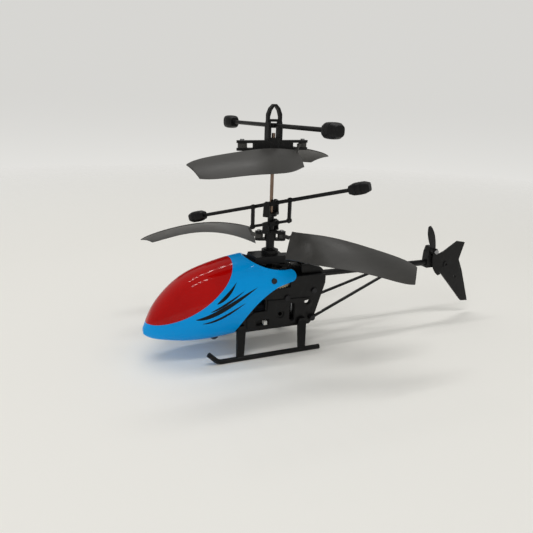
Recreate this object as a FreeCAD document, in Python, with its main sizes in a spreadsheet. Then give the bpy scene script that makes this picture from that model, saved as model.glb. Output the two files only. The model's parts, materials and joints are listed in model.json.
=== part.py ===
"""Small two-channel coaxial toy helicopter: a parametric FreeCAD document.

Millimetres. +X runs to the nose, +Y to the helicopter's left side, +Z up. The ground is Z = 0 and
X = 0 is the middle of the overall length. Every sub-part is drawn about the rotor mast, and its
Placement carries it forward to the mast's place at Dims.mast_x.
"""
import FreeCAD, Part
import math
import os
import re
import Sketcher

V = FreeCAD.Vector
doc = FreeCAD.newDocument("coaxial_helicopter")
dims = doc.addObject("Spreadsheet::Sheet", "Dims")

DRIVING = {
    # whole object
    "overall_length": 186.5, "nose_reach": 60.5, "running_gap": 0.05, "side_gap": 0.25,
    # canopy shell
    "canopy_half_width": 14.8, "canopy_top": 46.6, "canopy_bottom": 7.6, "canopy_wall": 0.9,
    "canopy_sill_x": 20.0, "canopy_sill_z": 13.2, "canopy_tail_x": -8.3, "canopy_tail_z": 37.8,
    "screen_rear_x": 20.9, "screen_front_x": 58.4, "screen_front_z": 18.6,
    "canopy_screw_x": 3.1, "canopy_screw_z": 36.2, "canopy_ear_inset": 1.4,
    # chassis halves
    "shell_room": 4.9, "chassis_wall": 1.2, "chassis_floor": 10.5, "chassis_tail": -26.0,
    "chassis_front": 34.0, "nose_floor": 13.0, "lower_deck": 29.0, "upper_deck": 34.3,
    "deck_front": 21.0, "gear_slot_room": 0.6833, "screw_dia": 1.3, "screw_head_dia": 2.6,
    "screw_head_high": 0.8,
    # skids
    "skid_half_track": 15.8, "skid_dia": 2.3, "skid_sole": 0.15, "skid_rear": -20.8,
    "skid_front": 30.2, "skid_toe_x": 34.6, "skid_toe_z": 5.4, "skid_bend": 4.0,
    "front_leg_x": 17.3, "rear_leg_x": -13.8, "leg_rake": 2.5, "leg_top_z": 14.6,
    "leg_wide": 4.2, "leg_foot_wide": 3.2, "leg_thick": 1.8,
    # tail
    "boom_z": 32.8, "boom_dia": 3.2, "boom_bore": 2.2, "boom_tail": -98.0, "boom_seat": 6.0,
    "clamp_x": -66.0, "clamp_long": 6.0, "clamp_half": 3.0, "strut_dia": 1.5, "strut_x": -19.3,
    "strut_z": 13.9, "strut_eye": 3.2, "strut_eye_thick": 1.2, "strut_top_z": 31.0,
    "tail_block_x": -103.0, "tail_block_long": 11.0, "tail_block_half": 2.2,
    "fin_thick": 1.2, "fin_tip_x": -126.0, "fin_tip_z": 7.0, "fin_top_x": -113.0, "fin_top_z": 43.4,
    "tail_rotor_x": -94.5, "tail_rotor_z": 40.0, "tail_rotor_y": 3.2, "tail_rotor_radius": 14.8,
    "tail_rotor_lean": 70.0, "tail_axle_dia": 1.2, "tail_blade_wide": 4.6,
    # drive train
    "shaft_dia": 1.6, "tube_dia": 3.0, "gear_module": 0.5, "gear_teeth": 40, "pinion_teeth": 10,
    "gear_thick": 1.6, "lower_gear_z": 30.9, "upper_gear_z": 38.6, "backlash": 0.12,
    "motor_dia": 6.8, "motor_long": 16.0, "motor_shaft_dia": 1.0, "bush_dia": 4.4,
    "flange": 0.7, "flange_thick": 0.5, "sleeve_dia": 4.0,
    "collar_top": 45.4, "collar_floor": 41.8, "collar_side_room": 2.2, "collar_post": 2.2,
    "collar_boss_top": 47.4,
    "collar_rear": -16.0, "collar_pinion_room": 3.78, "collar_foot": 1.8, "vent_x": -8.6,
    # lower rotor head
    "lower_hub_z": 51.9, "lower_hub_high": 4.2, "lower_fork_azimuth": 161.0, "lower_pin_radius": 5.3,
    "lower_fold": -20.5, "lower_yoke_z": 59.7, "flybar_azimuth": 129.8, "flybar_tilt": 15.0,
    "lower_flybar_z": 69.1, "link_radius": 9.0, "link_dia": 2.4, "link_gap": 0.25, "link_thick": 1.2,
    "trunnion_dia": 1.2, "yoke_cheek": 5.2, "yoke_ring": 4.0, "yoke_bore": 2.6, "post_cheek": 4.8,
    "post_ring": 3.6, "post_bore": 2.3, "ring_high": 2.0,
    "lower_flybar_reach": 42.8, "flybar_dia": 1.4, "weight_long": 8.0, "weight_wide": 5.0,
    "lower_weight_high": 4.2, "upper_weight_high": 5.6, "weight_edge": 0.8,
    # upper rotor head
    "bar_azimuth": 7.5, "bar_z": 93.2, "bar_high": 4.3, "bar_half": 1.8, "ear_thick": 1.1, "fork_root": 9.4,
    "upper_pin_radius": 15.5, "bar_reach": 18.0, "upper_hub_dia": 6.4,
    "upper_flybar_z": 103.8, "upper_flybar_reach": 43.2,
    "loop_top": 112.8, "loop_half": 3.6, "loop_wall": 1.1,
    "near_blade_fold": 185.5, "far_blade_fold": 195.0,
    # blades: span from hinge pin to tip, then root / middle / tip values along the span
    "lower_reach": 62.5, "upper_reach": 58.5, "blade_root": 5.7, "blade_offset": 2.5, "blade_thick": 0.7,
    "blade_camber": 0.055, "knuckle_dia": 3.8, "knuckle_high": 1.9, "blade_pin_dia": 1.0,
    "pitch_root": 46.0, "pitch_mid": 26.5, "pitch_tip": 20.0,
    "chord_mid": 17.5, "chord_tip": 15.2, "tip_round": 1.6,
    "lower_chord_root": 14.6, "upper_chord_root": 9.6, "lower_rise_mid": -1.6, "lower_rise_tip": -10.9,
    "upper_rise_mid": 0.6, "upper_rise_tip": -4.4, "sweep_mid": 2.8, "sweep_tip": -4.9,
    "lower_lead_rise": 3.0, "upper_lead_rise": -2.0,
    # inside
    "battery_half_long": 8.8, "battery_left_room": 4.6, "battery_right_room": 1.4, "battery_high": 9.0,
    "board_thick": 1.0, "board_room": 0.8,
    "sensor_x": 27.5, "sensor_dia": 4.6, "sensor_low": 5.2, "switch_x": 6.5, "switch_z": 14.4,
    "switch_travel": 2.4, "switch_room": 0.8, "socket_x": -2.6, "socket_z": 17.6,
    "socket_bore": 2.0, "socket_deep": 4.8,
}

DERIVED = {
    "mast_x": "=overall_length / 2 - nose_reach",
    "gear_distance": "=gear_module * (gear_teeth + pinion_teeth) / 2 + backlash",
    "gear_tip": "=gear_module * gear_teeth / 2 + 0.85 * gear_module",
    "chassis_half": "=canopy_half_width - canopy_wall - shell_room",
    "chassis_inner": "=chassis_half - chassis_wall",
    "canopy_ear_half": "=canopy_half_width - canopy_ear_inset",
    "gear_slot_half": "=sqrt(gear_tip ^ 2 - chassis_inner ^ 2) + gear_slot_room",
    "collar_half": "=chassis_inner - collar_side_room",
    "collar_front": "=gear_distance + collar_pinion_room",
    "battery_left": "=chassis_inner - battery_left_room",
    "battery_right": "=battery_right_room - chassis_inner",
    "deck_thick": "=chassis_wall",
    "deck_top": "=upper_deck + chassis_wall",
    "skid_z": "=skid_dia / 2 - skid_sole",
    "floor_top": "=chassis_floor + chassis_wall",
    "loop_base": "=upper_flybar_z + 1.6",
}

for row, (alias, value) in enumerate(list(DRIVING.items()) + list(DERIVED.items()), start=1):
    dims.set("A%d" % row, alias)
    dims.set("B%d" % row, str(value))
    dims.setAlias("B%d" % row, alias)
doc.recompute()

ALIASES = set(DRIVING) | set(DERIVED)
ROLES = {"X": "YZ_Plane", "Y": "XZ_Plane", "Z": "XY_Plane"}
THROUGH = 400.0
subparts = []


# ---------------------------------------------------------------- helpers
def number(expression):
    """The value of an expression of sheet aliases."""
    return float(dims.evalExpression(str(expression)))


def bound(expression):
    """The same expression as an object outside the sheet writes it."""
    return re.sub(r"[a-z][a-z0-9_]*", lambda m: "Dims." + m[0] if m[0] in ALIASES else m[0], str(expression))


def place(item, at=("0", "0", "0"), yaw="0", pitch="0"):
    """Bind a sub-part's Placement: a point in mast axes, then a turn about Z and a tilt."""
    item.setExpression("Placement.Base.x", bound("mast_x + (%s)" % at[0]))
    item.setExpression("Placement.Base.y", bound(at[1]))
    item.setExpression("Placement.Base.z", bound(at[2]))
    item.setExpression("Placement.Rotation.Yaw", bound("mod(%s + 180; 360) - 180" % yaw))
    item.setExpression("Placement.Rotation.Pitch", bound(pitch))


def new_body(label, **where):
    body = doc.addObject("PartDesign::Body", label)
    body.Label = label
    place(body, **where)
    subparts.append(body)
    return body


def formed(label, shape, **where):
    """A free-form piece: its shape comes from Part's own functions, its sizes from the sheet."""
    piece = doc.addObject("Part::Feature", label)
    piece.Label = label
    piece.Shape = shape
    place(piece, **where)
    subparts.append(piece)
    return piece


def sketch_on(body, axis, offset):
    """A sketch across an axis; XZ_Plane's normal is -Y, so its offset is turned round."""
    plane = next(f for f in body.Origin.OriginFeatures if f.Role == ROLES[axis])
    sketch = body.newObject("Sketcher::SketchObject", body.Label + "_sketch")
    sketch.AttachmentSupport = [(plane, "")]
    sketch.MapMode = "FlatFace"
    sign = "-1" if axis == "Y" else "1"
    sketch.setExpression("AttachmentOffset.Base.z", bound("%s * (%s)" % (sign, offset)))
    return sketch


def pin_point(sketch, geometry, end, point):
    for kind, expression in zip(("DistanceX", "DistanceY"), point):
        rule = Sketcher.Constraint(kind, -1, 1, geometry, end, number(expression))
        index = sketch.addConstraint(rule)
        sketch.setExpression("Constraints[%d]" % index, bound(expression))


def draw_outline(sketch, points):
    corners = [V(number(a), number(b), 0) for a, b in points]
    count = len(corners)
    for i in range(count):
        sketch.addGeometry(Part.LineSegment(corners[i], corners[(i + 1) % count]), False)
    for i in range(count):
        sketch.addConstraint(Sketcher.Constraint("Coincident", i, 2, (i + 1) % count, 1))
        pin_point(sketch, i, 1, points[i])


def draw_circle(sketch, centre, diameter):
    middle = V(number(centre[0]), number(centre[1]), 0)
    index = sketch.addGeometry(Part.Circle(middle, V(0, 0, 1), number(diameter) / 2), False)
    pin_point(sketch, index, 3, centre)
    rule = sketch.addConstraint(Sketcher.Constraint("Diameter", index, number(diameter)))
    sketch.setExpression("Constraints[%d]" % rule, bound(diameter))


def draw_slot(sketch, start, end, diameter):
    """A round-ended slot between two centres that share one coordinate."""
    a = V(number(start[0]), number(start[1]), 0)
    b = V(number(end[0]), number(end[1]), 0)
    along = (b - a).normalize()
    side = V(-along.y, along.x, 0) * (number(diameter) / 2)
    heading = math.atan2(side.y, side.x)
    turn = V(0, 0, 1)
    radius = number(diameter) / 2
    sketch.addGeometry(Part.LineSegment(a - side, b - side), False)
    sketch.addGeometry(Part.ArcOfCircle(Part.Circle(b, turn, radius), heading - math.pi, heading), False)
    sketch.addGeometry(Part.LineSegment(b + side, a + side), False)
    sketch.addGeometry(Part.ArcOfCircle(Part.Circle(a, turn, radius), heading, heading + math.pi), False)
    for first, second in ((0, 1), (1, 2), (2, 3), (3, 0)):
        sketch.addConstraint(Sketcher.Constraint("Tangent", first, 2, second, 1))
    pin_point(sketch, 1, 3, end)
    pin_point(sketch, 3, 3, start)
    rule = sketch.addConstraint(Sketcher.Constraint("Radius", 1, radius))
    sketch.setExpression("Constraints[%d]" % rule, bound("(%s) / 2" % diameter))


def extrude(body, kind, axis, low, high, draw, *shape):
    """Pad or pocket the drawn profile from low to high along an axis, and see that it counted."""
    start, run = (high, low) if axis == "Y" else (low, high)
    sketch = sketch_on(body, axis, start)
    draw(sketch, *shape)
    before = body.Shape.Volume if body.Tip else 0.0
    feature = body.newObject("PartDesign::" + kind, body.Label + "_" + kind.lower())
    feature.Profile = sketch
    feature.Reversed = kind == "Pocket"
    feature.setExpression("Length", bound("(%s) - (%s)" % (high, low)))
    sketch.Visibility = False
    doc.recompute()
    grown = body.Shape.Volume - before
    if (grown if kind == "Pad" else -grown) < 1e-4:
        raise RuntimeError("%s changed nothing on %s (start %s, run %s)" % (kind, body.Label, start, run))
    return feature


def slab(body, axis, low, high, points):
    return extrude(body, "Pad", axis, low, high, draw_outline, points)


def rod(body, axis, low, high, centre, diameter):
    return extrude(body, "Pad", axis, low, high, draw_circle, centre, diameter)


def bore(body, axis, low, high, centre, diameter):
    return extrude(body, "Pocket", axis, low, high, draw_circle, centre, diameter)


def window(body, axis, low, high, points):
    return extrude(body, "Pocket", axis, low, high, draw_outline, points)


def slot(body, axis, low, high, start, end, diameter):
    return extrude(body, "Pocket", axis, low, high, draw_slot, start, end, diameter)


def lozenge(body, axis, low, high, start, end, diameter):
    return extrude(body, "Pad", axis, low, high, draw_slot, start, end, diameter)


def box_outline(left, right, low, high):
    return [(left, low), (right, low), (right, high), (left, high)]


def turned(body, profile):
    """Revolve an (R, Z) outline about the body's own Z axis."""
    sketch = sketch_on(body, "Y", "0")
    draw_outline(sketch, profile)
    feature = body.newObject("PartDesign::Revolution", body.Label + "_turn")
    feature.Profile = sketch
    feature.ReferenceAxis = (sketch, ["V_Axis"])
    feature.Angle = 360
    sketch.Visibility = False
    doc.recompute()
    return feature


def round_edges(body, radius, chosen):
    """Fillet the edges that the chosen test picks from the body's tip."""
    base = body.Tip
    names = ["Edge%d" % (i + 1) for i, edge in enumerate(base.Shape.Edges) if chosen(edge)]
    feature = body.newObject("PartDesign::Fillet", body.Label + "_round")
    feature.Base = (base, names)
    feature.setExpression("Radius", bound(radius))
    doc.recompute()
    return feature


def along(edge, axis):
    """True for a straight edge that runs along an axis."""
    if edge.Curve.TypeId != "Part::GeomLine":
        return False
    return abs(edge.Curve.Direction.dot(axis)) > 0.999


# ---------------------------------------------------------------- canopy
CANOPY_STATIONS = (
    # distance behind the nose, then half width, top and bottom as parts of the full section
    (0.0, 0.09, 0.185, 0.132), (0.9, 0.20, 0.245, 0.108), (3.5, 0.40, 0.385, 0.075),
    (10.5, 0.68, 0.610, 0.035), (20.5, 0.87, 0.800, 0.0), (30.5, 0.95, 0.895, 0.0),
    (40.5, 0.985, 0.960, 0.02), (52.5, 1.0, 1.0, 0.04), (71.0, 0.975, 1.0, 0.06),
)
SECTION_POWER = 2.25
SECTION_POINTS = 20


def canopy_section(station, inset):
    """A closed super-ellipse across X, drawn in by the wall's thickness."""
    behind, wide, top, bottom = station
    span = number("canopy_top - canopy_bottom")
    half = number("canopy_half_width") * wide - inset
    high = number("canopy_bottom") + span * top - inset
    low = number("canopy_bottom") + span * bottom + inset
    points = []
    for i in range(SECTION_POINTS):
        angle = 2 * math.pi * i / SECTION_POINTS
        across = math.copysign(abs(math.cos(angle)) ** (2 / SECTION_POWER), math.cos(angle))
        upward = math.copysign(abs(math.sin(angle)) ** (2 / SECTION_POWER), math.sin(angle))
        points.append(V(number("nose_reach") - behind, half * across,
                        (high + low) / 2 + (high - low) / 2 * upward))
    curve = Part.BSplineCurve()
    curve.interpolate(points, PeriodicFlag=True)
    return Part.Wire(curve.toShape())


def canopy_form(inset, stations):
    return Part.makeLoft([canopy_section(station, inset) for station in stations], True, False)


def side_prism(edges):
    """Extrude a closed side-view wire right across the helicopter."""
    face = Part.Face(Part.Wire(edges))
    face.translate(V(0, -THROUGH / 2, 0))
    return face.extrude(V(0, THROUGH, 0))


def side_point(x, z):
    return V(number(x), 0, number(z))


def arc(start, middle, end):
    return Part.Arc(start, middle, end).toShape()


def canopy_side():
    """The canopy seen from the side: sill, swept lower edge, rounded ear, scooped top."""
    sill = side_point("canopy_sill_x", "canopy_sill_z")
    lower_mid = side_point("canopy_sill_x - 6.4", "canopy_sill_z + 10.6")
    ear_low = side_point("canopy_screw_x - 2.2", "canopy_screw_z - 2.9")
    ear_heel = side_point("canopy_tail_x + 2.4", "canopy_tail_z - 2.7")
    ear_tip = side_point("canopy_tail_x", "canopy_tail_z")
    ear_top = side_point("canopy_tail_x + 1.7", "canopy_tail_z + 2.4")
    scoop_mid = side_point("canopy_screw_x + 2.4", "canopy_screw_z + 5.4")
    scoop_top = side_point("canopy_screw_x + 12.3", "canopy_top + 0.2")
    sky = side_point("canopy_screw_x + 12.3", "canopy_top + 20")
    front_sky = side_point("nose_reach + 10", "canopy_top + 20")
    front_low = side_point("nose_reach + 10", "-5")
    sill_low = side_point("canopy_sill_x", "-5")
    return side_prism([
        arc(sill, lower_mid, ear_low), Part.makeLine(ear_low, ear_heel),
        arc(ear_heel, ear_tip, ear_top), arc(ear_top, scoop_mid, scoop_top),
        Part.makeLine(scoop_top, sky), Part.makeLine(sky, front_sky),
        Part.makeLine(front_sky, front_low), Part.makeLine(front_low, sill_low),
        Part.makeLine(sill_low, sill),
    ])


def screen_side():
    """The windscreen seen from the side: a long leaf above a sweeping lower edge."""
    tip = side_point("screen_front_x", "screen_front_z")
    belly = side_point("(screen_front_x + screen_rear_x) / 2 + 3.4", "screen_front_z + 4.6")
    shoulder = side_point("screen_rear_x + 8.6", "screen_front_z + 14.5")
    cheek = side_point("screen_rear_x + 2.6", "canopy_top - 6")
    rear = side_point("screen_rear_x", "canopy_top + 0.4")
    sky = side_point("screen_rear_x", "canopy_top + 20")
    front_sky = side_point("nose_reach + 10", "canopy_top + 20")
    front = side_point("nose_reach + 10", "screen_front_z - 1")
    return side_prism([
        arc(tip, belly, shoulder), arc(shoulder, cheek, rear), Part.makeLine(rear, sky),
        Part.makeLine(sky, front_sky), Part.makeLine(front_sky, front), Part.makeLine(front, tip),
    ])


def make_canopy():
    outer = canopy_form(0.0, CANOPY_STATIONS)
    inner = canopy_form(number("canopy_wall"), CANOPY_STATIONS[1:])
    shell = outer.cut(inner).common(canopy_side())
    screen_zone = screen_side()
    screw = Part.makeCylinder(number("screw_dia / 2"), THROUGH,
                              V(number("canopy_screw_x"), -THROUGH / 2, number("canopy_screw_z")), V(0, 1, 0))
    for side in (1, -1):
        face = V(number("canopy_screw_x"), side * number("canopy_ear_half"), number("canopy_screw_z"))
        screw = screw.fuse(Part.makeCylinder(number("screw_head_dia / 2"), 9, face, V(0, side, 0)))
    sensor = Part.makeCylinder(number("sensor_dia / 2 + side_gap"), number("canopy_bottom + 6"),
                               V(number("sensor_x"), 0, 0))
    gear_low = number("upper_gear_z - 2 * side_gap")
    gear_well = Part.makeCylinder(number("gear_module * (gear_teeth + 2) / 2 + 2 * side_gap"),
                                  number("gear_thick + 4 * side_gap"), V(0, 0, gear_low))
    formed("canopy", shell.cut(screen_zone).cut(screw).cut(sensor).cut(gear_well))
    formed("windscreen", shell.common(screen_zone))


def make_canopy_screws():
    """One pan-head screw through each ear into the chassis post behind it."""
    head = number("screw_head_dia / 2")
    outside = number("canopy_ear_half")
    depth = number("canopy_ear_half - chassis_half + 2.5")
    screws = []
    for side in (1, -1):
        at = V(number("canopy_screw_x"), side * outside, number("canopy_screw_z"))
        way = V(0, side, 0)
        cap = Part.makeCylinder(head, number("screw_head_high"), at, way)
        shank = Part.makeCylinder(number("screw_dia / 2"), depth, at - way * depth, way)
        screws.append(cap.fuse(shank).removeSplitter())
    formed("canopy_screws", Part.makeCompound(screws))


# ---------------------------------------------------------------- chassis
CHASSIS_SCREWS = (
    ("chassis_tail + 6", "lower_deck - 1.4"), ("chassis_tail + 20", "lower_deck - 3.6"),
    ("deck_front + 3", "nose_floor + 4.4"),
)


def across(side, near, far):
    """Lowest and highest Y of a feature that lies between two distances on one side."""
    if side > 0:
        return near, far
    return "-1 * (%s)" % far, "-1 * (%s)" % near


def make_chassis_half(label, side):
    """A moulded half: side plate, floor, two decks, tail block and screw posts to the middle."""
    body = new_body(label)
    plate = across(side, "chassis_half - chassis_wall", "chassis_half")
    inward = across(side, "0", "chassis_half - chassis_wall / 2")
    slab(body, "Y", *plate, [
        ("chassis_tail + 7.7", "chassis_floor"), ("deck_front - 3", "chassis_floor"),
        ("deck_front - 1.3", "nose_floor"), ("chassis_front - 3", "nose_floor"),
        ("chassis_front", "nose_floor + 3"), ("chassis_front", "nose_floor + 8"),
        ("deck_front", "deck_top"), ("chassis_tail", "deck_top"), ("chassis_tail", "lower_deck + 2"),
        ("chassis_tail + 5.7", "chassis_floor + 2.4"),
    ])
    slab(body, "Y", *inward, box_outline("chassis_tail + 7.7", "deck_front - 3",
                                         "chassis_floor", "floor_top"))
    slab(body, "Y", *inward, box_outline("deck_front", "chassis_front - 4", "nose_floor",
                                         "nose_floor + chassis_wall"))
    slab(body, "Y", *inward, box_outline("chassis_tail + 2", "deck_front - 4", "lower_deck",
                                         "lower_deck + deck_thick"))
    slab(body, "Y", *inward, box_outline("chassis_tail + 1", "deck_front", "upper_deck", "deck_top"))
    slab(body, "Y", *across(side, "0", "4.2"), box_outline(
        "chassis_tail", "chassis_tail + boom_seat", "lower_deck + deck_thick", "deck_top"))
    for x, z in CHASSIS_SCREWS:
        rod(body, "Y", *inward, (x, z), "screw_dia * 2.4")
    rod(body, "Y", *across(side, "chassis_half - 3", "canopy_ear_half - canopy_wall - 1.4"),
        ("canopy_screw_x", "canopy_screw_z"), "screw_dia * 2.8")
    cut_chassis_openings(body, side, plate)
    return body


def cut_chassis_openings(body, side, plate):
    """Bores for shafts, motors' pinions, screws and boom, and the plate's windows."""
    full = ("-1 * canopy_half_width", "canopy_half_width")
    for x, z in CHASSIS_SCREWS:
        bore(body, "Y", *full, (x, z), "screw_dia")
    bore(body, "Y", *full, ("canopy_screw_x", "canopy_screw_z"), "screw_dia")
    bore(body, "X", "chassis_tail - 1", "chassis_tail + boom_seat + 1", ("0", "boom_z"), "boom_dia")
    bore(body, "Z", "lower_deck - 1", "deck_top + 1", ("0", "0"), "bush_dia")
    for end in (1, -1):
        bore(body, "Z", "lower_deck - 1", "lower_deck + deck_thick + 1", ("%d * gear_distance" % end, "0"),
             "motor_shaft_dia * 3")
    bore(body, "Z", "upper_deck - 1", "deck_top + 1", ("gear_distance", "0"), "motor_shaft_dia * 3")
    window(body, "Y", *plate, box_outline("-1 * gear_slot_half", "gear_slot_half", "lower_gear_z - 0.5",
                                          "lower_gear_z + gear_thick + 0.5"))
    slot(body, "Y", *plate, ("vent_x", "floor_top + 3"), ("vent_x", "floor_top + 9.6"), "2.2")
    bore(body, "Y", *plate, ("chassis_tail + 9.4", "lower_deck - 6.5"), "2.6")
    window(body, "Y", *plate, [("switch_x - 1.4", "lower_deck - 9"), ("switch_x + 5", "lower_deck - 9"),
                               ("switch_x + 3", "lower_deck - 3"), ("switch_x - 1.4", "lower_deck - 3")])
    if side > 0:
        bore(body, "Y", *plate, ("socket_x", "socket_z"), "socket_bore + 1.6")
        window(body, "Y", *plate, box_outline("switch_x - 3", "switch_x + 3",
                                              "switch_z - 1.1", "switch_z + 1.1"))


def make_chassis_screws():
    """Three long screws from the left plate through both halves' posts."""
    head = number("screw_head_dia / 2")
    start = number("chassis_half")
    depth = number("chassis_half * 2 - 1.5")
    screws = []
    for x, z in CHASSIS_SCREWS:
        at = V(number(x), start, number(z))
        cap = Part.makeCylinder(head, number("screw_head_high"), at, V(0, 1, 0))
        shank = Part.makeCylinder(number("screw_dia / 2"), depth, at - V(0, depth, 0), V(0, 1, 0))
        screws.append(cap.fuse(shank).removeSplitter())
    formed("chassis_screws", Part.makeCompound(screws))


def make_mast_collar():
    """The bridge over the upper gear that carries the top bearing."""
    body = new_body("mast_collar")
    slab(body, "Y", "-1 * collar_half", "collar_half", [
        ("collar_rear", "collar_floor"), ("collar_front", "collar_floor"),
        ("collar_front", "collar_floor + 1.4"),
        ("collar_half + 4", "collar_floor + 1.8"), ("collar_half + 3.4", "collar_top"),
        ("-1 * collar_half", "collar_top"), ("-1 * collar_half - 0.8", "collar_floor + 1.8"),
        ("collar_rear", "collar_floor + 1.4"),
    ])
    for left in ("collar_rear", "collar_front"):
        slab(body, "Y", "-1 * collar_half", "collar_half",
             box_outline(left, left + " + collar_foot", "deck_top", "collar_floor + 1.4"))
    rod(body, "Z", "collar_top", "collar_boss_top", ("0", "0"), "bush_dia * 1.8")
    window(body, "Y", "collar_post - collar_half", "collar_half - collar_post", box_outline(
        "collar_rear - 0.5", "collar_rear + collar_foot + 0.5", "deck_top + 1.2", "collar_floor - 0.8"))
    bore(body, "Z", "collar_floor - 1", "collar_boss_top + 1", ("0", "0"), "tube_dia + 1.4")


# ---------------------------------------------------------------- skids
def make_skid(label, side):
    """One runner with its upturned toe, and two raked legs that end in pads on the chassis."""
    body = new_body(label)
    path = sketch_on(body, "Y", "%d * skid_half_track" % side)
    rise = number("skid_toe_z - skid_z")
    slope = math.atan2(rise, number("skid_toe_x - skid_front"))
    bend = number("skid_bend")
    before = number("skid_front") - bend * math.tan(slope / 2)
    heel = V(number("skid_rear"), number("skid_z"), 0)
    bend_start = V(before, number("skid_z"), 0)
    bend_end = bend_start + V(bend * math.sin(slope), bend * (1 - math.cos(slope)), 0)
    toe = V(number("skid_toe_x"), number("skid_toe_z"), 0)
    centre = bend_start + V(0, bend, 0)
    path.addGeometry(Part.LineSegment(heel, bend_start), False)
    path.addGeometry(Part.ArcOfCircle(Part.Circle(centre, V(0, 0, 1), bend), -math.pi / 2,
                                      slope - math.pi / 2), False)
    path.addGeometry(Part.LineSegment(bend_end, toe), False)
    path.addConstraint(Sketcher.Constraint("Tangent", 0, 2, 1, 1))
    path.addConstraint(Sketcher.Constraint("Tangent", 1, 2, 2, 1))
    pin_point(path, 0, 1, ("skid_rear", "skid_z"))
    path.addConstraint(Sketcher.Constraint("Horizontal", 0))
    pin_point(path, 2, 2, ("skid_toe_x", "skid_toe_z"))
    rule = path.addConstraint(Sketcher.Constraint("Radius", 1, bend))
    path.setExpression("Constraints[%d]" % rule, bound("skid_bend"))
    rule = path.addConstraint(Sketcher.Constraint("DistanceX", -1, 1, 0, 2, before))
    path.setExpression("Constraints[%d]" % rule, bound("skid_front - skid_bend * 0.414"))
    section = sketch_on(body, "X", "skid_rear")
    draw_circle(section, ("%d * skid_half_track" % side, "skid_z"), "skid_dia")
    runner = body.newObject("PartDesign::AdditivePipe", label + "_runner")
    runner.Profile = section
    runner.Spine = (path, ["Edge1", "Edge2", "Edge3"])
    doc.recompute()
    for top_x in ("front_leg_x", "rear_leg_x"):
        add_leg(body, side, top_x)
    middle = "%d * skid_half_track" % side
    window(body, "Z", "-2", "0",
           box_outline("skid_rear - 2", "skid_toe_x + 2", middle + " - 3", middle + " + 3"))
    return body


def add_leg(body, side, top_x):
    """A leg as a loft from a pad beside the chassis down to the runner."""
    sections = []
    for z, x, near, wide in (
            ("leg_top_z - 1.4", top_x, "chassis_half", "leg_wide"),
            ("skid_z", top_x + " + leg_rake", "skid_half_track - leg_thick / 2", "leg_foot_wide")):
        low, high = across(side, near, near + " + leg_thick")
        section = sketch_on(body, "Z", z)
        draw_outline(section, box_outline(x + " - (%s) / 2" % wide, x + " + (%s) / 2" % wide, low, high))
        sections.append(section)
    leg = body.newObject("PartDesign::AdditiveLoft", body.Label + "_leg")
    leg.Profile = sections[0]
    leg.Sections = [sections[1]]
    doc.recompute()
    low, high = across(side, "chassis_half", "chassis_half + leg_thick")
    slab(body, "Y", low, high, [
        (top_x + " - leg_wide / 2", "leg_top_z - 1.4"), (top_x + " + leg_wide / 2", "leg_top_z - 1.4"),
        (top_x + " + leg_wide / 2 - 0.7", "leg_top_z"), (top_x + " - leg_wide / 2 + 0.7", "leg_top_z"),
    ])


# ---------------------------------------------------------------- tail
def make_tail_boom():
    body = new_body("tail_boom")
    rod(body, "X", "boom_tail", "chassis_tail + boom_seat", ("0", "boom_z"), "boom_dia")
    bore(body, "X", "boom_tail - 1", "chassis_tail + boom_seat + 1", ("0", "boom_z"), "boom_bore")


def make_boom_clamp():
    body = new_body("boom_clamp")
    slab(body, "X", "clamp_x - clamp_long / 2", "clamp_x + clamp_long / 2", [
        ("-1 * clamp_half", "strut_top_z - 2"), ("clamp_half", "strut_top_z - 2"),
        ("clamp_half", "boom_z + 1.4"), ("clamp_half - 1.2", "boom_z + boom_dia / 2 + 1"),
        ("1.2 - clamp_half", "boom_z + boom_dia / 2 + 1"), ("-1 * clamp_half", "boom_z + 1.4"),
    ])
    bore(body, "X", "clamp_x - clamp_long", "clamp_x + clamp_long", ("0", "boom_z"), "boom_dia")
    bore(body, "Y", "-1 * clamp_half - 1", "clamp_half + 1", ("clamp_x", "strut_top_z - 0.6"), "screw_dia")


def make_strut(label, side):
    """A slim rod with a flat eye at each end, one on the chassis and one on the boom clamp."""
    half_eye = number("strut_eye_thick / 2")
    low = V(number("strut_x"), side * (number("chassis_half") + half_eye), number("strut_z"))
    high = V(number("clamp_x"), side * (number("clamp_half") + half_eye), number("strut_top_z - 0.6"))
    bar = Part.makeCylinder(number("strut_dia / 2"), (high - low).Length, low, high - low)
    eyes = []
    holes = []
    for centre in (low, high):
        start = centre - V(0, half_eye, 0)
        bottom = centre - V(0, THROUGH / 2, 0)
        eyes.append(Part.makeCylinder(number("strut_eye / 2"), 2 * half_eye, start, V(0, 1, 0)))
        holes.append(Part.makeCylinder(number("screw_dia / 2"), THROUGH, bottom, V(0, 1, 0)))
    trims = []
    for centre, face in ((low, "chassis_half"), (high, "clamp_half")):
        wall = number(face)
        trims.append(Part.makeBox(12, 2 * wall, 12, centre * 1.0 + V(-6, -centre.y - wall, -6)))
        face_y = side * number(face + " + strut_eye_thick")
        trims.append(Part.makeCylinder(number("screw_head_dia / 2 + running_gap"), 3,
                                       V(centre.x, face_y, centre.z), V(0, side, 0)))
    shape = bar.cut(trims).fuse(eyes).cut(holes)
    formed(label, shape.removeSplitter())


def make_strut_screws():
    screws = []
    for side in (1, -1):
        way = V(0, side, 0)
        for x, z, plate, depth in (("strut_x", "strut_z", "chassis_half", 0.0),
                                   ("clamp_x", "strut_top_z - 0.6", "clamp_half", 1.2)):
            at = V(number(x), side * number(plate + " + strut_eye_thick"), number(z))
            cap = Part.makeCylinder(number("screw_head_dia / 2"), number("screw_head_high * 0.8"), at, way)
            reach = number("strut_eye_thick") + depth
            shank = Part.makeCylinder(number("screw_dia / 2"), reach, at - way * reach, way)
            screws.append(cap.fuse(shank).removeSplitter())
    formed("strut_screws", Part.makeCompound(screws))


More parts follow.
